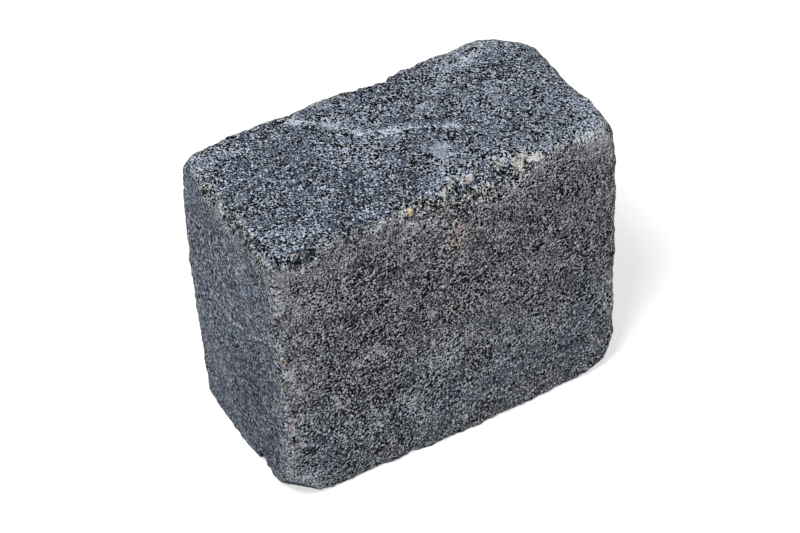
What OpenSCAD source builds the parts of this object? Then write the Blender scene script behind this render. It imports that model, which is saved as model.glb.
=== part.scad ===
// Tumbled concrete kerbstone: one block pressed in a mould, then rolled in a drum
// that rounds its arrises, wears its corners down and knocks chips off both.
// Millimetres, +Z up, +X along the kerb line. The origin is the centre of the bed,
// the flat face that the block stands on. The front face looks along -Y.

/* [Block] */
// Length along the kerb line, from one end face to the other
kerb_length = 200; // [120:1:300]
// Width across the kerb, from the front face to the back face
kerb_width = 102; // [80:1:160]
// Height from the bed to the top face
kerb_height = 168; // [100:1:250]

/* [Tumbling] */
// Radius worn on a plain stretch of arris
arris_radius = 3; // [2:0.5:6]
// How far from a corner its heavier wear fades out along an arris
corner_fade = 24; // [16:1:36]

/* [Smoothness] */
// Flats in a full turn of a worn arris
arris_flats = 24; // [12:4:32]

/* [Hidden] */

// Places on the block run from -1 to 1 on each axis, low side to high side: a place
// with two ones is on an arris and one with three is at a corner.

// Radius that each corner is worn to: [place, radius]
corners = [
    // top, round from the near left
    [[-1, -1, 1], 8],
    [[1, -1, 1], 9],
    [[1, 1, 1], 13],
    [[-1, 1, 1], 8],
    // bottom, round from the near left
    [[-1, -1, -1], 11],
    [[1, -1, -1], 10],
    [[1, 1, -1], 10],
    [[-1, 1, -1], 7],
];

// Chips, each the bowl that a large ball cuts: [place, reach, depth, lean]. Reach is
// half the bowl's length through its place on the sharp block and depth how far it goes
// below that place, in mm; lean tips it from straight across an arris towards one face,
// in degrees. Bowls that run into each other make one ragged break.
chips = [
    // corners
    [[-1, -1, 1], 24, 7.5, 0],
    [[1, -1, 1], 26, 8, 0],
    [[1, 1, 1], 38, 13.5, 0],
    [[-1, 1, 1], 24, 7, 0],
    [[-1, -1, -1], 38, 13, 0],
    [[1, -1, -1], 28, 8, 0],
    [[-1, 1, -1], 24, 6.5, 0],
    // top arrises, front then back; the front one has a bite below it near the left
    // corner and has crumbled to the right of its middle
    [[-0.85, -1, 0.93], 6, 2.2, 0],
    [[-0.79, -1, 0.96], 6, 2.8, 0],
    [[-0.5, -1, 1], 16, 2.6, 0],
    [[0.15, -1, 1], 46, 4.4, -12],
    [[-0.12, -1, 1], 11, 4.6, 4],
    [[0.08, -1, 1], 15, 6, 6],
    [[0.27, -1, 1], 20, 7.2, -24],
    [[0.42, -1, 1], 10, 4.8, -4],
    [[0.72, -1, 1], 24, 2.4, 8],
    [[-0.38, 1, 1], 20, 2.2, 10],
    [[0.12, 1, 1], 24, 2.8, -8],
    // top arrises, left then right end
    [[-1, 0.35, 1], 13, 2.6, 10],
    [[-1, -0.12, 1], 16, 3, 6],
    [[-1, -0.55, 1], 11, 3.2, -12],
    [[1, -0.1, 1], 24, 3.6, 0],
    // bottom arrises, front then back
    [[-0.58, -1, -1], 10, 1.8, 8],
    [[0.34, -1, -1], 12, 1.9, 12],
    [[-0.3, 1, -1], 28, 4, -6],
    [[0.5, 1, -1], 18, 3.4, 14],
    // bottom arrises, left then right end
    [[-1, -0.34, -1], 10, 3, 14],
    [[-1, 0.45, -1], 12, 1.8, -8],
    [[1, 0.2, -1], 20, 3.6, 6],
    // upright arrises, round from the near left
    [[-1, -1, -0.3], 14, 2.4, -10],
    [[-1, -1, 0.45], 18, 2.6, 12],
    [[1, -1, 0.1], 20, 2, 0],
    [[1, 1, 0.2], 24, 4.4, 10],
    [[-1, 1, 0.3], 12, 1.9, -12],
    [[-1, 1, -0.45], 14, 1.9, 8],
];

size = [kerb_length, kerb_width, kerb_height];

// The point of the sharp block at a place, and the sides that a place is flush with
function at(place) = [for (a = [0:2]) size[a] * (place[a] + (a == 2 ? 1 : 0)) / 2];
function flush(place) = [for (s = place) abs(s) == 1 ? s : 0];

// Straight out of the block at a chip's place, tipped by its lean
function way_out(chip) =
    let (
        side = flush(chip[0]),
        first = side[0] != 0 ? 0 : 1,
        tilt = 1 + tan(chip[3]),
        way = [for (a = [0:2]) side[a] * (a == first ? tilt : 1)]
    )
    way / norm(way);

// Places on the arrises, one at each end of the stretch between two worn corners
function arris_places(a) =
    let (stretch = 1 - 2 * corner_fade / size[a])
    [
        for (along = [-stretch, stretch], i = [-1, 1], j = [-1, 1])
            [for (b = [0:2]) b == a ? along : b == (a + 1) % 3 ? i : j]
    ];

// A ball inside the block at a place, against every face that the place is flush with
module ball(place, radius)
    translate(at(place) - radius * flush(place))
    rotate(180 / arris_flats)
    sphere(radius / cos(180 / arris_flats), $fn = arris_flats);

// The block as the drum rolls it round. The balls stop a hair short of the upright
// faces, so their hull is stretched to the full length and width.
module worn_block() {
    short = arris_radius * (1 - cos(180 / arris_flats));
    hull()
        scale([kerb_length / (kerb_length - 2 * short), kerb_width / (kerb_width - 2 * short), 1]) {
            for (corner = corners) ball(corner[0], corner[1]);
            for (a = [0:2], place = arris_places(a)) ball(place, arris_radius);
        }
}

// The ball that cuts one chip
module chip_cutter(chip) {
    radius = (pow(chip[1], 2) + pow(chip[2], 2)) / (2 * chip[2]);
    translate(at(chip[0]) + way_out(chip) * (radius - chip[2]))
        sphere(radius);
}

module kerbstone()
    color("slategray")
    difference() {
        worn_block();
        for (chip = chips) chip_cutter(chip);
    }

kerbstone();
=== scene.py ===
import math

import bmesh
import bpy
import numpy as np
from mathutils import Matrix, Vector, noise


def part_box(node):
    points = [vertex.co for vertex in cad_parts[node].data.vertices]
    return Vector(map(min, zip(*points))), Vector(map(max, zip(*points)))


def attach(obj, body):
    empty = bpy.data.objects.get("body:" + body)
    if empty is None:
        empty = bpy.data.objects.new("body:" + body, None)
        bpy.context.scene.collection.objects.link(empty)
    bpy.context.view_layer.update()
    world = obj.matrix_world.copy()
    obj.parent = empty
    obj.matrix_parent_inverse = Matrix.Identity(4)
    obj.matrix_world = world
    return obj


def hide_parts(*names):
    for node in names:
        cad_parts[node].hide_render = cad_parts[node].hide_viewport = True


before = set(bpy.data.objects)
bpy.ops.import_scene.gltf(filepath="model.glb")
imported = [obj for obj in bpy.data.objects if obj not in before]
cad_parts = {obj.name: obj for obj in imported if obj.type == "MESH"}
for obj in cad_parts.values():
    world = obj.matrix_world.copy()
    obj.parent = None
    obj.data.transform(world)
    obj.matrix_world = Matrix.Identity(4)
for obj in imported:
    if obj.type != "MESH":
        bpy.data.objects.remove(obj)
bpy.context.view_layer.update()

mm = 0.001
nodeLow, nodeHigh = [np.array(corner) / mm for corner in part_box("kerbstone")]

# What the mould and the drum did to the block. Lengths are in millimetres; a place runs
# from -1 to 1 on each axis, low side to high side of the block.
relief = {
    "voxel": 0.8,
    "triangles": 190000,
    "swell": 0.55,           # how far the faces wander in and out
    "swellLength": 62,
    "dent": 0.4,             # shallow dents from the drum
    "dentLength": 19,
    "dentRim": 0.2,          # highest share of a dent's ripple that stands up
    "wearReach": 6,          # how far from an arris its crumbling goes
    "wearDepth": 1.0,
    "wearLength": 13,
    "wearShare": 0.25,       # of the depth, gone on the whole arris
    "wearMost": 1.5,         # the most that can go, as a share of the depth
    "crumbDepth": 0.8,       # crumbs gone from a worn arris
    "crumbLength": 4.2,
    "crumbLevel": 0.6,       # share of a crumb's dome that lies level with the skin
    "chunkDepth": 2.8,       # the same in a rough break
    "chunkLength": 4.6,
    "chunkLevel": 0.5,
    "breakWander": 3,        # how far the outline of a break and of the seam wanders
    "seamWander": 1.5,
    "stainWander": 2.5,      # the same for a stain
    "stainWanderLength": 5,
    "stainDepth": (1.5, 4),  # below a face, where a stain that is on it begins to go and is gone
    "pitDepth": 0.9,
    "pitLength": 6.5,
    "pitRadius": 0.24,       # of the largest pits, as a share of pitLength
    "pitLeast": 0.35,        # the smallest ones, as a share of the largest
    "hollowRounds": 6,       # rounds of smoothing against which a point counts as hollow
    # rough breaks: place, reach and depth
    "breaks": [
        [[-0.83, -1, 0.94], 8, 0.3],
        [[-0.5, -1, 1], 10, 0.2],
        [[-0.12, -1, 1], 14, 0.5],
        [[0.08, -1, 0.98], 15, 0.6],
        [[0.27, -0.96, 1], 18, 0.5],
        [[0.42, -0.96, 1], 12, 0.5],
        [[-1, 0.35, 1], 10, 0.3],
        [[-1, -0.12, 1], 11, 0.3],
        [[-1, -0.55, 1], 10, 0.3],
        [[-1, -0.34, -1], 10, 0.5],
        [[0.12, 1, 1], 16, 0.5],
        [[1, 1, 0.2], 16, 0.6],
    ],
    # where a face bulges: place, reach and height
    "bulges": [[[0.1, -1, -0.9], 60, 1.4], [[-1, 0.6, 0.2], 70, 1.2]],
    # a seam that the mould's plate left across the top: its points, reach and height
    "seam": [[[-0.42, 0.9, 1], [-0.14, 0.27, 1], [0.17, 0, 1], [0.3, -0.14, 1]], 2.6, 0.5],
}


def fade(value, least, most):
    t = np.clip((value - least) / (most - least), 0, 1)
    return t * t * (3 - 2 * t)


def placePoint(place):
    return nodeLow + (nodeHigh - nodeLow) * (np.array(place) + 1) / 2


def pathGap(points, path):
    # distance from each point to a place, or to a line through a few places
    stops = [placePoint(place) for place in path]
    gap = np.linalg.norm(points - stops[0], axis=1)
    for start, end in zip(stops, stops[1:]):
        along = end - start
        share = np.clip((points - start) @ along / (along @ along), 0, 1)
        gap = np.minimum(gap, np.linalg.norm(points - start - share[:, None] * along, axis=1))
    return gap


def remeshedBlock(node, voxel):
    mesh = node.data.copy()
    block = bpy.data.objects.new("tumbled_kerbstone", mesh)
    bpy.context.scene.collection.objects.link(block)
    work = bmesh.new()
    work.from_mesh(mesh)
    bmesh.ops.remove_doubles(work, verts=work.verts, dist=0.01 * mm)
    work.to_mesh(mesh)
    work.free()
    remesh = block.modifiers.new("even skin", "REMESH")
    remesh.mode = "VOXEL"
    remesh.voxel_size = voxel * mm
    remesh.adaptivity = 0
    evaluated = block.evaluated_get(bpy.context.evaluated_depsgraph_get())
    skin = bpy.data.meshes.new_from_object(evaluated)
    block.modifiers.clear()
    block.data = skin
    bpy.data.meshes.remove(mesh)
    return block


def meshPoints(mesh):
    points = np.empty(len(mesh.vertices) * 3)
    mesh.vertices.foreach_get("co", points)
    return points.reshape(-1, 3) / mm


def meshNormals(mesh):
    normals = np.empty(len(mesh.vertices) * 3)
    mesh.vertex_normals.foreach_get("vector", normals)
    return normals.reshape(-1, 3)


def rippled(points, length, octaves, offset=0.0):
    # Perlin noise of a wavelength in millimetres, from about -1 to 1
    return np.array([
        noise.fractal(Vector(point) / length + Vector((offset, 0, 0)), 1.0, 2.0, octaves,
                      noise_basis="PERLIN_ORIGINAL")
        for point in points
    ])


def pitted(points, length, radius, least):
    # 1 in the middle of a pit, 0 outside all of them
    depth = np.zeros(len(points))
    for i, point in enumerate(points):
        distances, centres = noise.voronoi(Vector(point) / length)
        chance = abs(noise.cell(centres[0] * 7.31))
        size = radius * (least + (1 - least) * chance)
        depth[i] = max(0.0, 1 - (distances[0] / size) ** 2)
    return depth


def lumped(points, length, where):
    # crumbs side by side: how far up its dome a point is, and a chance value for each crumb
    domes, values = np.zeros(len(points)), np.zeros(len(points))
    for i in np.flatnonzero(where):
        distances, centres = noise.voronoi(Vector(points[i]) / length)
        domes[i] = 1 - min(1.0, distances[0] * 1.3)
        values[i] = noise.cell(centres[0] * 5.7)
    return domes, values


def arrisGap(points):
    # how far a point is from its nearest arris, along the face
    gaps = np.minimum(points - nodeLow, nodeHigh - points)
    return np.sort(np.maximum(gaps, 0), axis=1)[:, 1]


def arrisLift(points, near, worn, broken):
    # what wear has taken from the arrises, and the crumbs and chunks that it left
    slight = 0.02  # nearer to 0 than this, there is nothing to crumble
    lift = -near * relief["wearDepth"] * np.clip(relief["wearShare"] + worn, 0, relief["wearMost"])
    crumbs = lumped(points, relief["crumbLength"], near > slight)[0]
    lift += near * relief["crumbDepth"] * (crumbs - relief["crumbLevel"])
    chunks, shades = lumped(points, relief["chunkLength"], broken > slight)
    lift += broken * relief["chunkDepth"] * (chunks - relief["chunkLevel"])
    return lift, shades


def faceLift(points, worn):
    # swelling, dents, bulges, the seam and pits of the faces
    lift = relief["swell"] * rippled(points, relief["swellLength"], 2)
    dents = rippled(points, relief["dentLength"], 2, 5.3)
    lift += relief["dent"] * np.minimum(dents, relief["dentRim"])
    for place, reach, height in relief["bulges"]:
        lift += height * fade(1 - pathGap(points, [place]) / reach, 0, 1)
    path, reach, height = relief["seam"]
    gap = pathGap(points, path) + relief["seamWander"] * worn
    lift += height * np.exp(-(gap / reach) ** 2)
    pits = pitted(points, relief["pitLength"], relief["pitRadius"], relief["pitLeast"])
    return lift - relief["pitDepth"] * pits


def carvedBlock(block):
    mesh = block.data
    points = meshPoints(mesh)
    near = np.exp(-(arrisGap(points) / relief["wearReach"]) ** 2)
    worn = rippled(points, relief["wearLength"], 3, 11.7)
    lift = faceLift(points, worn)
    broken = np.zeros(len(points))
    for place, reach, depth in relief["breaks"]:
        gap = pathGap(points, [place]) + relief["breakWander"] * worn
        hollow = fade(1 - (gap / reach) ** 2, 0, 0.5)
        lift -= depth * hollow
        broken = np.maximum(broken, hollow)
    taken, shades = arrisLift(points, near, worn, broken)
    carved = points + meshNormals(mesh) * (lift + taken)[:, None]
    carved[:, 2] = np.maximum(carved[:, 2], nodeLow[2])
    mesh.vertices.foreach_set("co", (carved * mm).ravel())
    mesh.update()
    storeValue(mesh, "broken", broken)
    storeValue(mesh, "hollow", hollowness(mesh, relief["hollowRounds"]))
    storeValue(mesh, "crumb", shades * broken)
    wander = relief["stainWander"] * rippled(points, relief["stainWanderLength"], 2, 47.9)
    for name, areas in stains.items():
        storeValue(mesh, name, stained(points, areas, wander))
    print("carved", len(points), "points")


def thinned(block, triangles):
    # fewer triangles where the skin is flat
    block.data.calc_loop_triangles()
    thin = block.modifiers.new("thin", "DECIMATE")
    thin.ratio = min(1.0, triangles / len(block.data.loop_triangles))
    evaluated = block.evaluated_get(bpy.context.evaluated_depsgraph_get())
    mesh = bpy.data.meshes.new_from_object(evaluated)
    block.modifiers.clear()
    block.data = mesh
    mesh.polygons.foreach_set("use_smooth", np.ones(len(mesh.polygons), dtype=bool))
    print("thinned to", len(mesh.polygons), "faces")


def hollowness(mesh, rounds):
    # how far each point lies below the mean of those around it, in millimetres
    points = meshPoints(mesh)
    edges = np.empty(len(mesh.edges) * 2, dtype=np.int32)
    mesh.edges.foreach_get("vertices", edges)
    a, b = edges.reshape(-1, 2).T
    share = 1 / np.maximum(np.bincount(np.append(a, b), minlength=len(points)), 1)
    smooth = points.copy()
    for _ in range(rounds):
        total = np.stack([
            np.bincount(a, smooth[b, k], len(points)) + np.bincount(b, smooth[a, k], len(points))
            for k in range(3)
        ], axis=1)
        smooth = total * share[:, None]
    return ((smooth - points) * meshNormals(mesh)).sum(axis=1)


def storeValue(mesh, name, values):
    attribute = mesh.attributes.new(name, "FLOAT", "POINT")
    attribute.data.foreach_set("value", values.astype(np.float32))


# Where the skin differs from the rest: a path of places, reach in millimetres, strength
stains = {
    # brown dust
    "dust": [
        [[[-0.5, -1, 0.35], [0.5, -1, 0.35]], 95, 0.75],
        [[[0, -1, 0.95], [0.35, -1, 0.98]], 18, 0.3],
        [[[-1, -0.9, 0.9], [-1, 0.3, 0.95]], 12, 0.5],
        [[[-0.9, -1, -0.92], [0.9, -1, -0.9]], 14, 0.35],
        [[[-1, -0.9, 0.6], [-1, -0.9, -0.8]], 13, 0.4],
        [[[0.55, 1, 0.3], [-0.4, 1, 0]], 70, 0.6],
        [[[1, 0.2, 0.5], [1, -0.4, -0.2]], 50, 0.6],
    ],
    # skin that the mould closed
    "smooth": [
        [[[-1, 0.2, 0.5], [-1, 0, -0.7]], 70, 0.4],
        [[[-0.1, -1, -0.85], [0.8, -1, -0.75]], 34, 0.6],
        [[[-0.75, 0.5, 1], [-0.5, -0.2, 1]], 30, 0.35],
        [[[0.3, 1, -0.4], [-0.5, 1, -0.5]], 60, 0.6],
        [[[1, 0, -0.6], [1, 0.2, 0.3]], 45, 0.5],
    ],
    # arrises that the drum rubbed: calmer, browner and paler
    "rubbed": [
        [[[-0.95, -1, 0.88], [-0.6, -1, 0.92], [-0.25, -1, 0.97]], 11, 1.0],
        [[[-0.97, -1, 0.8], [-0.97, -1, -0.2]], 9, 1.0],
        [[[-0.98, -1, -0.2], [-0.98, -1, -0.8]], 5, 0.5],
        [[[-1, -1, 0.9], [-1, -1, 0.8]], 9, 0.6],
        [[[1, -1, 1], [0.9, -1, 0.97]], 16, 1.0],
        [[[1, -1, 0.9], [1, -1, -0.7]], 8, 0.7],
        [[[0.5, -1, 0.97], [0.85, -1, 0.95]], 8, 0.7],
        [[[1, -0.9, 1], [1, 0.8, 1]], 7, 0.6],
        [[[-1, -0.5, 1], [-1, 0.8, 1]], 7, 0.5],
        [[[-0.6, 1, 1], [0.9, 1, 1]], 6, 0.6],
        [[[1, 1, 0.8], [1, 1, -0.6]], 9, 0.6],
        [[[-1, 1, 0.8], [-1, 1, -0.6]], 7, 0.6],
    ],
    # lime bloom
    "pale": [
        [[[-0.88, -0.62, 1], [-0.7, -0.84, 1]], 8, 0.45],
        [[[-0.2, -0.92, 1], [0.9, -0.95, 1]], 8, 0.5],
        [[[0.12, -0.38, 1], [0.17, -0.34, 1]], 6, 0.6],
        [[[0.35, 0.5, 1], [0.44, 0.62, 1]], 6, 0.8],
        [[[0.19, 0.26, 1], [0.24, 0.3, 1]], 5, 0.7],
        [[[0.52, 0.7, 1], [0.7, 0.8, 1]], 7, 0.6],
        [[[0.58, 0.2, 1], [0.68, 0.12, 1]], 10, 0.5],
        [[[-0.26, -0.4, 1], [-0.18, -0.3, 1]], 8, 0.7],
        [[[-0.42, 0.9, 1], [-0.22, 0.52, 1], [-0.14, 0.27, 1], [0.17, 0, 1], [0.3, -0.14, 1]], 2.4, 0.9],
        [[[-0.8, 0.6, 1], [-0.42, 0.78, 1]], 3, 0.5],
        [[[0.32, -1, 0.6], [0.32, -1, 0.5]], 7, 0.3],
        [[[-0.14, -1, -0.34], [-0.04, -1, -0.3]], 9, 0.9],
        [[[-0.47, -1, 0.02], [-0.44, -1, -0.02]], 4, 1.0],
        [[[-0.15, -1, 0.12], [-0.13, -1, 0.1]], 3, 0.9],
        [[[-0.59, -1, 0.01], [-0.56, -1, -0.03]], 3, 0.7],
        [[[-0.98, -1, 0.12], [-0.94, -1, -0.02]], 4, 0.9],
        [[[-0.73, -1, -0.55], [-0.68, -1, -0.62]], 4, 0.8],
        [[[-0.95, -1, -0.84], [-0.85, -1, -0.9]], 8, 0.6],
        [[[-0.3, -1, -0.52], [-0.27, -1, -0.6]], 4, 0.8],
        [[[-0.51, 0.64, 1], [-0.5, 0.67, 1]], 3, 0.8],
        [[[-0.01, 0.02, 1], [0.0, 0.08, 1]], 4, 0.7],
        [[[-0.51, -0.38, 1], [-0.48, -0.35, 1]], 4, 0.8],
        [[[-0.44, -0.84, 1], [-0.4, -0.8, 1]], 4, 0.8],
        [[[-0.68, -1, -0.52], [-0.45, -1, -0.58]], 8, 0.35],
        [[[-0.33, -1, -0.5], [-0.28, -1, -0.62]], 7, 0.6],
        [[[-0.6, -1, 0.62], [-0.6, -1, 0.5]], 7, 0.5],
        [[[-1, -0.95, -0.2], [-1, -0.95, -0.8]], 9, 0.7],
        [[[-1, -0.2, 0.6], [-1, -0.3, 0.5]], 7, 0.5],
        [[[1, -0.5, 0.7], [1, 0.1, 0.5]], 15, 0.6],
        [[[-0.5, 1, 0.5], [0.1, 1, 0.4]], 16, 0.6],
    ],
    # pale stones that lie open
    "stones": [
        [[[0.11, -0.39, 1], [0.15, -0.33, 1]], 4.2, 1.0],
        [[[-0.51, 0.65, 1], [-0.5, 0.67, 1]], 2.2, 0.7],
        [[[-0.21, -0.2, 1], [-0.2, -0.16, 1]], 2, 0.8],
        [[[-0.15, -1, 0.12], [-0.14, -1, 0.11]], 2.2, 0.8],
        [[[-0.46, -1, 0.01], [-0.45, -1, -0.01]], 2.2, 0.7],
        [[[-0.3, -1, 0.38], [-0.29, -1, 0.37]], 1.8, 0.7],
        [[[-1, 0.05, 0.72], [-1, 0.03, 0.7]], 2, 0.8],
        [[[0.42, 0.45, 1], [0.44, 0.47, 1]], 2.4, 0.7],
        [[[0.6, 0.18, 1], [0.63, 0.17, 1]], 2, 0.7],
        [[[0.25, -0.9, 1], [0.3, -0.88, 1]], 3, 0.9],
        [[[0.38, -0.93, 1], [0.42, -0.92, 1]], 2.6, 0.9],
        [[[0.14, -0.94, 1], [0.17, -0.92, 1]], 2.4, 0.8],
        [[[0.0, -0.97, 1], [0.03, -0.96, 1]], 2.2, 0.8],
    ],
    # small chips, painted black as the shade inside them
    "shadedNicks": [
        [[[-0.1, -1, 0.93], [-0.04, -1, 0.91]], 2.4, 0.8],
        [[[0.33, -1, 0.99], [0.42, -1, 0.99]], 3, 1.0],
        [[[-0.84, -1, 0.93], [-0.78, -1, 0.95]], 2, 0.8],
        [[[-0.98, -1, 0.58], [-0.97, -1, 0.55]], 1.7, 1.0],
        [[[-0.95, -1, 0.43], [-0.94, -1, 0.42]], 1.6, 1.0],
        [[[-0.99, -1, 0.05], [-0.97, -1, 0.04]], 1.8, 1.0],
        [[[-0.9, -1, 0.06], [-0.89, -1, 0.05]], 1.6, 1.0],
        [[[-0.98, -1, -0.06], [-0.97, -1, -0.09]], 2, 1.0],
        [[[-0.97, -1, -0.2], [-0.95, -1, -0.21]], 1.8, 1.0],
        [[[-0.97, -1, -0.42], [-0.96, -1, -0.45]], 1.8, 1.0],
        [[[-0.9, -1, -0.57], [-0.87, -1, -0.6]], 2, 1.0],
        [[[-0.84, -1, -0.5], [-0.83, -1, -0.52]], 1.8, 1.0],
        [[[-1, -0.3, 0.97], [-1, -0.24, 0.95]], 1.6, 0.7],
        [[[-1, 0.15, 0.97], [-1, 0.2, 0.96]], 2, 1.0],
    ],
    # lighter and darker stretches: of the top, then of the front, then of the left end
    "shade": [
        [[[-0.95, 0.85, 1], [-0.75, 0.95, 1]], 9, 0.8],
        [[[-0.35, 0.85, 1], [-0.1, 0.8, 1]], 8, 1.2],
        [[[0.5, 0.85, 1], [0.8, 0.85, 1]], 9, 1.0],
        [[[0.65, 0.85, 1], [0.75, 0.85, 1]], 12, 2.9],
        [[[-0.95, 0.8, 1], [-0.85, 0.85, 1]], 11, 2.6],
        [[[-0.52, 0.8, 1], [-0.48, 0.8, 1]], 9, -1.0],
        [[[-0.9, 0.4, 1], [-0.7, 0.4, 1]], 8, -0.8],
        [[[-0.35, 0.4, 1], [-0.3, 0.4, 1]], 9, -1.0],
        [[[-0.14, 0.4, 1], [-0.1, 0.4, 1]], 11, 1.7],
        [[[0.28, 0.4, 1], [0.34, 0.4, 1]], 11, -0.9],
        [[[0.65, 0.4, 1], [0.72, 0.4, 1]], 10, -1.4],
        [[[-0.3, 0.1, 1], [-0.12, 0.4, 1]], 10, 0.8],
        [[[0.28, 0.02, 1], [0.32, 0.02, 1]], 9, -0.8],
        [[[-0.92, 0, 1], [-0.88, 0, 1]], 9, -1.0],
        [[[-0.32, 0, 1], [-0.28, 0, 1]], 9, 1.2],
        [[[-0.12, 0, 1], [-0.08, 0, 1]], 9, 1.2],
        [[[0.1, 0, 1], [0.1, 0.05, 1]], 8, -0.8],
        [[[0.48, 0, 1], [0.52, 0, 1]], 9, 1.0],
        [[[0.88, 0, 1], [0.92, 0, 1]], 8, 0.8],
        [[[-0.22, -0.2, 1], [-0.19, -0.14, 1]], 5, 1.2],
        [[[-0.72, -0.4, 1], [-0.6, -0.3, 1]], 12, -0.7],
        [[[-0.52, -0.4, 1], [-0.48, -0.4, 1]], 9, -0.4],
        [[[-0.1, -0.4, 1], [-0.05, -0.45, 1]], 8, -0.8],
        [[[0.7, -0.4, 1], [0.95, -0.4, 1]], 11, 0.9],
        [[[0.7, -0.4, 1], [0.85, -0.5, 1]], 9, 0.7],
        [[[-0.35, -0.42, 1], [-0.1, -0.45, 1]], 11, -2.0],
        [[[0.08, -0.44, 1], [0.12, -0.44, 1]], 8, 1.4],
        [[[-0.4, -0.72, 1], [-0.1, -0.75, 1]], 11, -0.6],
        [[[-0.55, -0.78, 1], [-0.45, -0.82, 1]], 12, -1.5],
        [[[0.08, -0.8, 1], [0.35, -0.82, 1]], 10, 2.8],
        [[[0.9, -0.8, 1], [0.95, -0.7, 1]], 11, 1.9],
        [[[0.92, -0.85, 1], [0.95, 0.8, 1]], 10, 0.8],
        [[[-0.95, -0.9, 1], [-0.85, -0.88, 1]], 11, -0.4],
        [[[-0.35, -1, 0.9], [-0.12, -1, 0.86]], 8, 1.5],
        [[[0.42, -1, 0.9], [0.56, -1, 0.9]], 8, 0.9],
        [[[-0.75, -1, 0.86], [-0.65, -1, 0.88]], 9, 0.9],
        [[[-0.12, -1, 0.86], [-0.05, -1, 0.86]], 9, 0.8],
        [[[0.26, -1, 0.86], [0.52, -1, 0.88]], 10, 2.9],
        [[[0.9, -1, 0.86], [0.94, -1, 0.88]], 9, 2.2],
        [[[0.9, -1, 0.85], [0.95, -1, 0.92]], 7, 1.0],
        [[[0.04, -1, 0.84], [0.12, -1, 0.82]], 8, -0.8],
        [[[-0.5, -1, 0.65], [-0.3, -1, 0.6]], 9, -0.7],
        [[[0.3, -1, 0.65], [0.35, -1, 0.55]], 9, -0.6],
        [[[-0.92, -1, 0.64], [-0.88, -1, 0.6]], 9, 1.4],
        [[[-0.55, -1, 0.62], [-0.45, -1, 0.62]], 9, -1.0],
        [[[0.68, -1, 0.62], [0.72, -1, 0.62]], 9, 0.9],
        [[[0.08, -1, 0.38], [0.12, -1, 0.36]], 9, -1.1],
        [[[-0.5, -1, 0.3], [-0.42, -1, -0.35]], 16, -0.8],
        [[[-0.12, -1, 0.14], [-0.1, -1, 0.08]], 10, -2.9],
        [[[-0.9, -1, 0.12], [-0.7, -1, 0.12]], 9, 1.0],
        [[[-0.5, -1, 0.12], [-0.45, -1, 0.12]], 11, -1.0],
        [[[0.1, -1, 0.12], [0.13, -1, 0.12]], 9, 1.7],
        [[[0.3, -1, 0.12], [0.5, -1, 0.12]], 9, -0.9],
        [[[0.7, -1, -0.1], [0.75, -1, -0.15]], 10, -0.8],
        [[[0.7, -1, -0.12], [0.72, -1, -0.14]], 10, -1.0],
        [[[0.88, -1, -0.12], [0.92, -1, -0.12]], 9, -1.0],
        [[[-0.1, -1, -0.14], [0.12, -1, -0.12]], 9, 1.4],
        [[[-0.9, -1, -0.3], [-0.9, -1, -0.9]], 8, 0.9],
        [[[0.9, -1, -0.34], [0.92, -1, -0.4]], 11, 1.6],
        [[[0.1, -1, -0.35], [0.12, -1, -0.4]], 12, -2.2],
        [[[-0.5, -1, -0.36], [-0.3, -1, -0.38]], 9, -1.2],
        [[[0.3, -1, -0.36], [0.3, -1, -0.4]], 11, 2.1],
        [[[-0.5, -1, -0.38], [-0.45, -1, -0.38]], 10, -0.9],
        [[[-0.95, -1, -0.4], [-0.92, -1, -0.9]], 9, 0.9],
        [[[0.5, -1, -0.4], [0.9, -1, -0.4]], 14, 0.9],
        [[[-0.7, -1, -0.58], [-0.68, -1, -0.64]], 11, -2.4],
        [[[-0.68, -1, -0.6], [-0.7, -1, -0.65]], 8, -0.7],
        [[[-0.3, -1, -0.6], [-0.28, -1, -0.64]], 10, -2.0],
        [[[0.5, -1, -0.6], [0.5, -1, -0.64]], 10, -0.8],
        [[[0.7, -1, -0.6], [0.72, -1, -0.62]], 10, -0.9],
        [[[-0.52, -1, -0.62], [-0.48, -1, -0.62]], 8, 1.2],
        [[[0.08, -1, -0.62], [0.12, -1, -0.62]], 9, 1.2],
        [[[-0.9, -1, -0.85], [-0.9, -1, -0.9]], 9, 2.6],
        [[[0.5, -1, -0.85], [0.52, -1, -0.88]], 10, -0.8],
        [[[-0.12, -1, -0.86], [-0.08, -1, -0.88]], 9, 1.0],
        [[[-1, -0.2, 0.93], [-1, 0.5, 0.9]], 9, 0.9],
        [[[-1, 0.05, 0.9], [-1, 0, 0.85]], 9, 2.0],
        [[[-1, -0.8, 0.88], [-1, -0.8, 0.3]], 9, 0.8],
        [[[-1, 0.4, 0.86], [-1, 0.44, 0.88]], 9, -1.4],
        [[[-1, 0.85, 0.8], [-1, 0.85, -0.6]], 13, 0.9],
        [[[-1, 0.4, 0.14], [-1, 0.0, 0.1]], 9, 0.8],
        [[[-1, 0.45, 0.1], [-1, 0.45, -0.4]], 10, 0.8],
        [[[-1, -0.4, -0.1], [-1, 0.0, -0.6]], 12, -1.0],
        [[[-1, 0.0, -0.15], [-1, -0.2, -0.8]], 20, -0.6],
        [[[-1, -0.8, -0.3], [-1, -0.75, -0.65]], 13, -2.0],
    ],
    # crumbled paste that shows its sand
    "sand": [
        [[[-0.22, -1, 1], [-0.12, -1, 1]], 8, 0.6],
        [[[0.05, -0.98, 1], [0.3, -0.93, 1], [0.5, -0.96, 1]], 7, 0.8],
        [[[0.02, -1, 1], [0.45, -1, 1]], 11, 0.6],
        [[[0, -1, 0.93], [0.4, -1, 0.97]], 9, 0.4],
        [[[-0.1, -1, 0.75], [0.15, -1, 0.62]], 14, 0.3],
    ],
    # coloured grains that lie open
    "ochre": [
        [[[-0.22, -1, 0.96], [-0.2, -1, 1]], 2.2, 0.8],
        [[[-1, -1, 0.22], [-0.99, -1, 0.23]], 1.6, 1.0],
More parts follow.
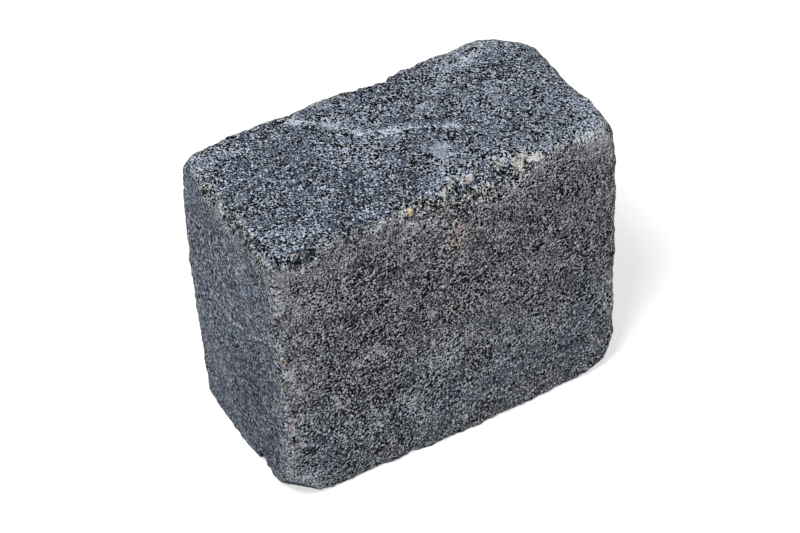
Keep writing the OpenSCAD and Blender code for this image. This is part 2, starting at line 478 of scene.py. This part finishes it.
        [[[0, -1, 0.62], [0.03, -1, 0.56]], 7, 0.35],
        [[[0.3, -0.97, 1], [0.33, -0.97, 1]], 3, 0.5],
    ],
    "pink": [
        [[[-0.98, -1, -0.32], [-0.98, -1, -0.33]], 2, 1.0],
        [[[0.02, -1, 0.1], [0.04, -1, 0.06]], 8, 0.35],
        [[[0.03, -1, 0.72], [0.04, -1, 0.68]], 5, 0.5],
        [[[0.13, -0.9, 1], [0.16, -0.88, 1]], 3.5, 0.35],
    ],
}


def stained(points, areas, wander):
    # the stains added up at each point; one whose path is on a single face stays on it
    total = np.zeros(len(points))
    for path, reach, strength in areas:
        stain = strength * np.exp(-((pathGap(points, path) + wander) / reach) ** 2)
        sides = [axis for axis in range(3) if all(abs(place[axis]) == 1 for place in path)]
        if len(sides) == 1:
            depth = np.abs(points - placePoint(path[0]))[:, sides[0]]
            stain *= 1 - fade(depth + wander, *relief["stainDepth"])
        total += stain
    return np.clip(total, -3, 3)


class Signal:
    # a socket that can stand in sums: each operator adds its Math node
    def __init__(self, graph, socket):
        self.graph, self.socket = graph, socket

    def maths(self, operation, first, second):
        return self.graph.add("ShaderNodeMath", {"operation": operation}, {0: first, 1: second})

    def __add__(self, other):
        return self.maths("ADD", self, other)

    def __radd__(self, other):
        return self.maths("ADD", other, self)

    def __sub__(self, other):
        return self.maths("SUBTRACT", self, other)

    def __rsub__(self, other):
        return self.maths("SUBTRACT", other, self)

    def __mul__(self, other):
        return self.maths("MULTIPLY", self, other)

    def __rmul__(self, other):
        return self.maths("MULTIPLY", other, self)

    def __pow__(self, other):
        return self.maths("POWER", self, other)


class Graph:
    def __init__(self, material):
        material.use_nodes = True
        self.nodes = material.node_tree.nodes
        self.links = material.node_tree.links
        self.nodes.clear()

    def add(self, kind, settings, sockets, output=0):
        node = self.nodes.new(kind)
        for name, value in settings.items():
            setattr(node, name, value)
        for name, value in sockets.items():
            if isinstance(value, Signal):
                self.links.new(value.socket, node.inputs[name])
            else:
                node.inputs[name].default_value = value
        return Signal(self, node.outputs[output]) if len(node.outputs) else None

    def vector(self, operation, first, second, output=0):
        return self.add("ShaderNodeVectorMath", {"operation": operation}, {0: first, 1: second}, output)

    def scaled(self, vector, factor):
        return self.add("ShaderNodeVectorMath", {"operation": "SCALE"}, {0: vector, "Scale": factor})

    def stored(self, name):
        return self.add("ShaderNodeAttribute", {"attribute_name": name}, {}, 2)

    def ripple(self, where, length, detail=2.0, roughness=0.6, distortion=0.0):
        return self.add("ShaderNodeTexNoise", {}, {
            "Vector": where, "Scale": 1 / length, "Detail": detail, "Roughness": roughness,
            "Distortion": distortion})

    def spots(self, where, length, spread):
        # distance from the nearest of scattered points, shorter by a chance share of spread
        cells = {"Vector": where, "Scale": 1 / length}
        gap = self.add("ShaderNodeTexVoronoi", {}, cells)
        colour = self.add("ShaderNodeTexVoronoi", {}, cells, 1)
        return gap - self.add("ShaderNodeSeparateColor", {}, {0: colour}) * spread

    def ramped(self, value, least, most, start=0.0, end=1.0):
        return self.add("ShaderNodeMapRange", {"interpolation_type": "SMOOTHSTEP"}, {
            "Value": value, "From Min": least, "From Max": most, "To Min": start, "To Max": end})

    def mixed(self, share, first, second, blend="MIX"):
        return self.add("ShaderNodeMix", {"data_type": "RGBA", "blend_type": blend}, {
            0: share, 6: first, 7: second}, 2)

    def drawn(self, where, way, share):
        # a place with a share of its distance along one way taken out, so that marks are long that way
        along = self.vector("DOT_PRODUCT", where, way, 1) * share
        return self.vector("SUBTRACT", where, self.scaled(way, along))

    def lineGap(self, where, start, end):
        # distance to the line between two places; how deep the surface lies in its face hardly counts
        squash = Vector([0.02 if abs(a) == 1 and a == b else 1 for a, b in zip(start, end)])
        a, b = Vector(placePoint(start)) * squash, Vector(placePoint(end)) * squash
        along = b - a
        out = self.vector("SUBTRACT", self.vector("MULTIPLY", where, squash), a)
        share = self.vector("DOT_PRODUCT", out, along / along.length_squared, 1)
        share = self.add("ShaderNodeClamp", {}, {0: share})
        return self.vector("DISTANCE", out, self.scaled(along, share), 1)


# The concrete. Tones are as the eye sees them, 0 black to 1 white; lengths in millimetres.
concrete = {
    "roughness": 0.9,
    "gloss": 0.12,
    "tone": 0.335,
    # painted shade: the tone inside a pit, where shade falls
    "pitShadeTone": 0.0,
    "stoneTone": 0.72,
    "scratchLift": 0.3,      # how much paler a scratch is than the skin
    "toneLimits": (0.03, 0.92),
    "gamma": 2.2,            # from tones to light
    "tints": {
        "paste": (0.68, 1.0, 1.6, 1),
        "mauve": (0.75, 0.98, 1.56, 1),
        "dust": (0.97, 1.0, 1.085, 1),
        "pale": (0.9, 1.0, 1.17, 1),
        "sand": (1.0, 1.0, 0.97, 1),
        "ochre": (1.4, 1.1, 0.66, 1),
        "pink": (1.25, 0.97, 0.95, 1),
    },
    # size of each kind of unevenness
    "lengths": {
        "clouds": 34,
        "patches": 11,
        "hue": 10,
        "skin": 8,
        "bloom": 7,
        "pebbles": 5.5,
        "smears": 4.5,
        "pores": 1.9,
        "dashes": 1.8,
        "pits": 1.5,
        "crests": 1.5,
        "rare": 1.3,
        "grain": 0.76,
    },
    "smearWay": (0.65, 0.39, 0.65),     # which way smears and dashes are drawn out
    "dashWay": (0.38, 0.91, 0.17),
    "litRimWay": (-0.45, -0.35, 0.45),     # how far and which way a pit lies from its painted highlight, the pale rim on the wall that faces the lamp
    # the values at which each mark begins to show and is full
    "edges": {
        "open": (-0.16, 0.16),
        "closed": (-0.08, -0.2),
        "smears": (0.06, 0.14),
        "pebbles": (0.16, 0.12),
        "pits": (0.18, 0.13),
        "litRims": (0.18, 0.12),
        "crests": (0.08, 0.02),
        "dashes": (0.0, -0.06),
        "shadedNicks": (0.6, 0.85),
        "stones": (0.3, 0.45),
        "bloom": (0.10, 0.18),
        "hue": (0.42, 0.58),
        "pale": (0.22, 0.74),
        "dust": (0.05, 0.75),
        "sand": (0.3, 1.1),
        "ochre": (0.2, 0.6),
        "pink": (0.2, 0.6),
    },
    "rare": 0.0008,          # share of the grains that are ochre, and about as many are pink
    # how much lighter or darker each mark makes the skin
    "tones": {
        "speckle": 1.72,
        "patches": 0.34,
        "dusty patches": 0.45,
        "clouds": 0.14,
        "openness": 0.03,
        "bloom": 0.14,
        "crests": 0.5,
        "dusty crests": 0.12,
        # painted highlight on the lit wall of each pit
        "litRims": 0.36,
        "smears": 0.1,
        "pebbles": 0.16,
        "dashes": 0.5,
        "shade": 0.06,
        "rubbed": 0.06,
        "pale": 0.05,
        "crumbs": 0.36,
        "ochre": 0.12,
        "pink": 0.12,
        # painted shade: darker in the hollows of the skin, and painted light: paler on its rises
        "hollow": -0.42,
        # painted shade inside small chips
        "shadedNicks": -0.5,
    },
    # how far each stands up from the skin
    "heights": {
        "grit": 1.8,
        "pebbles": 0.5,
        "crests": 0.35,
        "dashes": 0.3,
        "pits": -0.6,
        "shadedNicks": -1.2,
    },
    # pale scratches: two places and width
    "scratches": [
        [[-0.42, 0.9, 1], [-0.21, 0.5, 1], 0.8],
        [[-0.21, 0.5, 1], [-0.14, 0.27, 1], 0.8],
        [[-0.14, 0.27, 1], [0.17, 0, 1], 0.6],
        [[-0.62, 0.19, 1], [-0.54, 0.25, 1], 0.6],
        [[-1, 0.92, 0.22], [-1, 0.57, 0.24], 0.7],
        [[-1, 0.57, 0.24], [-1, 0.45, 0.13], 0.9],
        [[-1, 0.45, 0.13], [-1, 0.09, 0.09], 0.8],
        [[-1, 0.09, 0.09], [-1, -0.34, 0.15], 1.3],
        [[-1, -0.34, 0.15], [-1, -0.9, 0.32], 0.9],
        [[-1, 0.63, -0.51], [-1, 0.34, -0.56], 0.7],
        [[-1, 0.49, -0.2], [-1, 0.37, -0.21], 0.5],
        [[-1, -0.05, -0.25], [-1, -0.18, -0.28], 0.5],
        [[-1, -0.46, -0.34], [-1, -0.6, -0.37], 0.8],
        [[-1, -0.72, -0.42], [-1, -0.85, -0.48], 0.8],
        [[-0.08, -1, -0.2], [0.06, -1, -0.12], 0.7],
        [[-0.3, -1, -0.62], [-0.2, -1, -0.5], 0.7],
        [[-0.69, -1, 0.75], [-0.55, -1, 0.82], 0.9],
    ],
}


def skinMarks(g, where):
    # how strongly each stain and each kind of unevenness shows
    length, edge = concrete["lengths"], concrete["edges"]
    m = {name: g.stored(name) for name in [*stains, "broken", "hollow", "crumb"]}
    pale, sand, smooth, rubbed, dust = m["pale"], m["sand"], m["smooth"], m["rubbed"], m["dust"]

    # ripples, from about -0.3 to 0.3
    clouds = g.ripple(where, length["clouds"], 3) - 0.5
    patches = g.ripple(where, length["patches"], 4) - 0.5
    grain = g.ripple(where, length["grain"], 1) - 0.5
    skin = g.ripple(g.vector("ADD", where, (31, 0, 0)), length["skin"], 3) - 0.5
    pores = g.ripple(g.vector("ADD", where, (77, 0, 0)), length["pores"], 1, 0.6, 0.8) - 0.5

    # the skin is coarse where it is open, fine where it is closed or calm
    calm = g.ramped(smooth + rubbed, 0.0, 1.0)
    opened = skin * 1.3 + clouds * 0.4 - calm * 0.12 + m["broken"] * 0.03
    openness = g.ramped(opened, *edge["open"])
    closed = g.ramped(skin * 0.6 + patches, *edge["closed"]) * 0.5
    grit = (grain * 1.5 + pores * (0.1 + openness * 0.45)) * (1 - closed)
    m.update(clouds=clouds, patches=patches, grain=grain, openness=openness, grit=grit)
    m["speckle"] = grit * (1 - smooth * 0.8 - rubbed * 0.4 + dust * 0.2)
    m["dusty patches"] = patches * dust

    # pits, painted dark as the shade inside them, each with a painted highlight as a pale rim on its far
    # side
    spare = openness * 0.22 - (rubbed + pale) * 0.06 - sand * 0.12
    gap = g.spots(where, length["pits"], 0.35) + grain * 0.6
    m["pits"] = g.ramped(gap - spare, *edge["pits"])
    # painted highlight: a pale rim on the side of each pit that faces the lamp
    gap = g.spots(g.vector("ADD", where, concrete["litRimWay"]), length["pits"], 0.35) + grain * 0.6
    m["litRims"] = g.ramped(gap - spare, *edge["litRims"]) * (1 - m["pits"])

    # grains that stand up, large and small
    gap = g.spots(where, length["pebbles"], 0.1) - sand * 0.06 + grain * 0.1
    m["pebbles"] = g.ramped(gap, *edge["pebbles"])
    gap = g.spots(g.vector("ADD", where, (0, 0, 19)), length["crests"], 0.35) - grain * 0.5
    gap = gap - (pale + sand - rubbed) * 0.06 - openness * 0.12
    m["crests"] = g.ramped(gap, *edge["crests"])
    m["dusty crests"] = m["crests"] * dust
    m["crumbs"] = m["crumb"] * sand

    # smears and short strokes where the mould or the drum dragged the skin
    drawn = g.drawn(where, concrete["smearWay"], 0.75)
    m["smears"] = g.ramped(g.ripple(drawn, length["smears"], 3) - 0.5 + pale * 0.12, *edge["smears"])
    gap = g.spots(g.drawn(where, concrete["dashWay"], 0.7), length["dashes"], 0.3) + grain * 0.2
    m["dashes"] = g.ramped(gap - smooth * 0.2 - patches * 0.4 - pale * 0.06, *edge["dashes"])

    # lime bloom, chips painted black as shade, and open stones, all with ragged outlines
    m["bloom"] = g.ramped(
        g.ripple(where, length["bloom"], 4, 0.65) - 0.5 + pale * 0.3 + grain * 0.2, *edge["bloom"])
    m["shadedNicks"] = g.ramped(m["shadedNicks"] + (grain + pores) * 2.2, *edge["shadedNicks"])
    m["stones"] = g.ramped(m["stones"] + grain * 0.5, *edge["stones"])
    return m


def summed(marks, shares, total=0.0):
    for name, share in shares.items():
        total = total + marks[name] * share
    return total


def skinTone(g, where, m):
    tone = summed(m, concrete["tones"], concrete["tone"])
    # painted shade: each pit is darkened almost to black
    tone = tone + (concrete["pitShadeTone"] - tone) * m["pits"] * 0.95
    tone = tone + (concrete["stoneTone"] + m["grain"] * 0.8 - tone) * m["stones"] * 0.85
    for start, end, width in concrete["scratches"]:
        gap = g.lineGap(where, start, end) + m["grain"] * 0.6
        tone = tone + g.ramped(gap, width, width * 0.4, 0.0, concrete["scratchLift"])
    return tone


def skinTint(g, where, m, tone):
    edge, tints = concrete["edges"], concrete["tints"]
    hue = g.ripple(g.vector("ADD", where, (0, 53, 0)), concrete["lengths"]["hue"], 2)
    dust = m["dust"] + m["rubbed"] * 0.9 + m["clouds"] * 0.5 + m["patches"] * 0.6
    sand = m["sand"] + m["patches"] * 2 + m["grain"]
    tint = g.mixed(g.ramped(hue, *edge["hue"]), tints["paste"], tints["mauve"])
    tint = g.mixed(g.ramped(tone, *edge["pale"]), tint, tints["pale"])
    tint = g.mixed(g.ramped(dust, *edge["dust"]), tint, tints["dust"])
    tint = g.mixed(g.ramped(sand, *edge["sand"]), tint, tints["sand"])

    # a few coloured grains anywhere, more of them in the sand
    rare = concrete["rare"]
    cells = {"Vector": where, "Scale": 1 / concrete["lengths"]["rare"]}
    chance = g.add("ShaderNodeSeparateColor", {}, {0: g.add("ShaderNodeTexVoronoi", {}, cells, 1)}, 1)
    ochre = g.ramped(chance + m["sand"] * 0.012, 1 - rare, 1 - rare / 2, 0, 0.7)
    pink = g.ramped(chance - m["sand"] * 0.02, rare, rare / 2, 0, 0.6)
    tint = g.mixed(ochre, tint, tints["ochre"])
    tint = g.mixed(pink, tint, tints["pink"])
    for name in ("ochre", "pink"):
        tint = g.mixed(g.ramped(m[name] + m["grain"] * 0.5, *edge[name]), tint, tints[name])
    return tint


def concreteMaterial():
    material = bpy.data.materials.new("tumbledConcrete")
    g = Graph(material)
    where = g.scaled(g.add("ShaderNodeTexCoord", {}, {}, "Object"), 1 / mm)
    marks = skinMarks(g, where)
    tone = skinTone(g, where, marks)
    darkest, palest = concrete["toneLimits"]
    light = g.add("ShaderNodeClamp", {}, {0: tone, 1: darkest, 2: palest}) ** concrete["gamma"]
    colour = g.mixed(1.0, skinTint(g, where, marks, tone), light, "MULTIPLY")
    height = summed(marks, concrete["heights"])
    bump = g.add("ShaderNodeBump", {}, {"Height": height, "Distance": mm, "Strength": 1.0})
    shader = g.add("ShaderNodeBsdfPrincipled", {}, {
        "Base Color": colour, "Roughness": concrete["roughness"], "Normal": bump,
        "Specular IOR Level": concrete["gloss"]})
    g.add("ShaderNodeOutputMaterial", {}, {0: shader})
    return material


studio = {
    "cameraPlace": (-0.4957, -0.9227, 1.0142),
    "cameraAim": (-0.003, 0, 0.083),
    "cameraRoll": -3.1,
    "lens": 120,
    "skyStrength": 0.40,
    "keyPlace": (-0.6, -0.5, 1.5),
    "keySize": 0.45,
    "keyPower": 26,
    "floorReach": 4.0,
    "floorTone": 0.5,
    "floorGlow": 0.62,
    "white": (1, 1, 1, 1),
}


def lookAt(place, aim, roll=0.0):
    turn = (Vector(aim) - Vector(place)).to_track_quat("-Z", "Y").to_matrix().to_4x4()
    return Matrix.Translation(place) @ turn @ Matrix.Rotation(math.radians(roll), 4, "Z")


def seenShare(g):
    # 1 for rays that show the background, 0 for those that only carry its light
    rays = [g.add("ShaderNodeLightPath", {}, {}, name)
            for name in ("Is Camera Ray", "Is Glossy Ray", "Is Transmission Ray")]
    return g.add("ShaderNodeClamp", {}, {0: rays[0] + rays[1] + rays[2]})


def placeCamera(scene):
    camera = bpy.data.objects.new("camera", bpy.data.cameras.new("camera"))
    camera.data.lens = studio["lens"]
    camera.data.sensor_width = 36
    camera.matrix_world = lookAt(studio["cameraPlace"], studio["cameraAim"], studio["cameraRoll"])
    scene.collection.objects.link(camera)
    scene.camera = camera


def hangLamp(scene):
    lamp = bpy.data.lights.new("key", "AREA")
    lamp.shape = "DISK"
    lamp.size = studio["keySize"]
    lamp.energy = studio["keyPower"]
    key = bpy.data.objects.new("key", lamp)
    key.matrix_world = lookAt(studio["keyPlace"], studio["cameraAim"])
    scene.collection.objects.link(key)


def setSky(scene):
    world = bpy.data.worlds.new("studio")
    scene.world = world
    g = Graph(world)
    sky = g.add("ShaderNodeBackground", {}, {0: studio["white"], 1: studio["skyStrength"]})
    backdrop = g.add("ShaderNodeBackground", {}, {0: studio["white"], 1: 1.0})
    shown = g.add("ShaderNodeMixShader", {}, {0: seenShare(g), 1: sky, 2: backdrop})
    g.add("ShaderNodeOutputWorld", {}, {0: shown})


def layFloor(scene):
    mesh = bpy.data.meshes.new("floor")
    reach = studio["floorReach"]
    corners = [(-reach, -reach, 0), (reach, -reach, 0), (reach, reach, 0), (-reach, reach, 0)]
    mesh.from_pydata(corners, [], [(0, 1, 2, 3)])
    floor = bpy.data.objects.new("floor", mesh)
    scene.collection.objects.link(floor)
    material = bpy.data.materials.new("floor")
    g = Graph(material)
    tone = studio["floorTone"]
    paint = g.add("ShaderNodeBsdfDiffuse", {}, {0: (tone, tone, tone, 1)})
    glow = g.add("ShaderNodeEmission", {}, {0: studio["white"], 1: seenShare(g) * studio["floorGlow"]})
    both = g.add("ShaderNodeAddShader", {}, {0: paint, 1: glow})
    g.add("ShaderNodeOutputMaterial", {}, {0: both})
    mesh.materials.append(material)


def buildStudio():
    scene = bpy.context.scene
    scene.view_settings.view_transform = "Standard"
    placeCamera(scene)
    hangLamp(scene)
    setSky(scene)
    layFloor(scene)


block = remeshedBlock(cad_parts["kerbstone"], relief["voxel"])
print("skin remeshed")
carvedBlock(block)
thinned(block, relief["triangles"])
block.data.materials.clear()
block.data.materials.append(concreteMaterial())
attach(block, "root")
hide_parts("kerbstone")
print("concrete on")
buildStudio()
print("studio set")
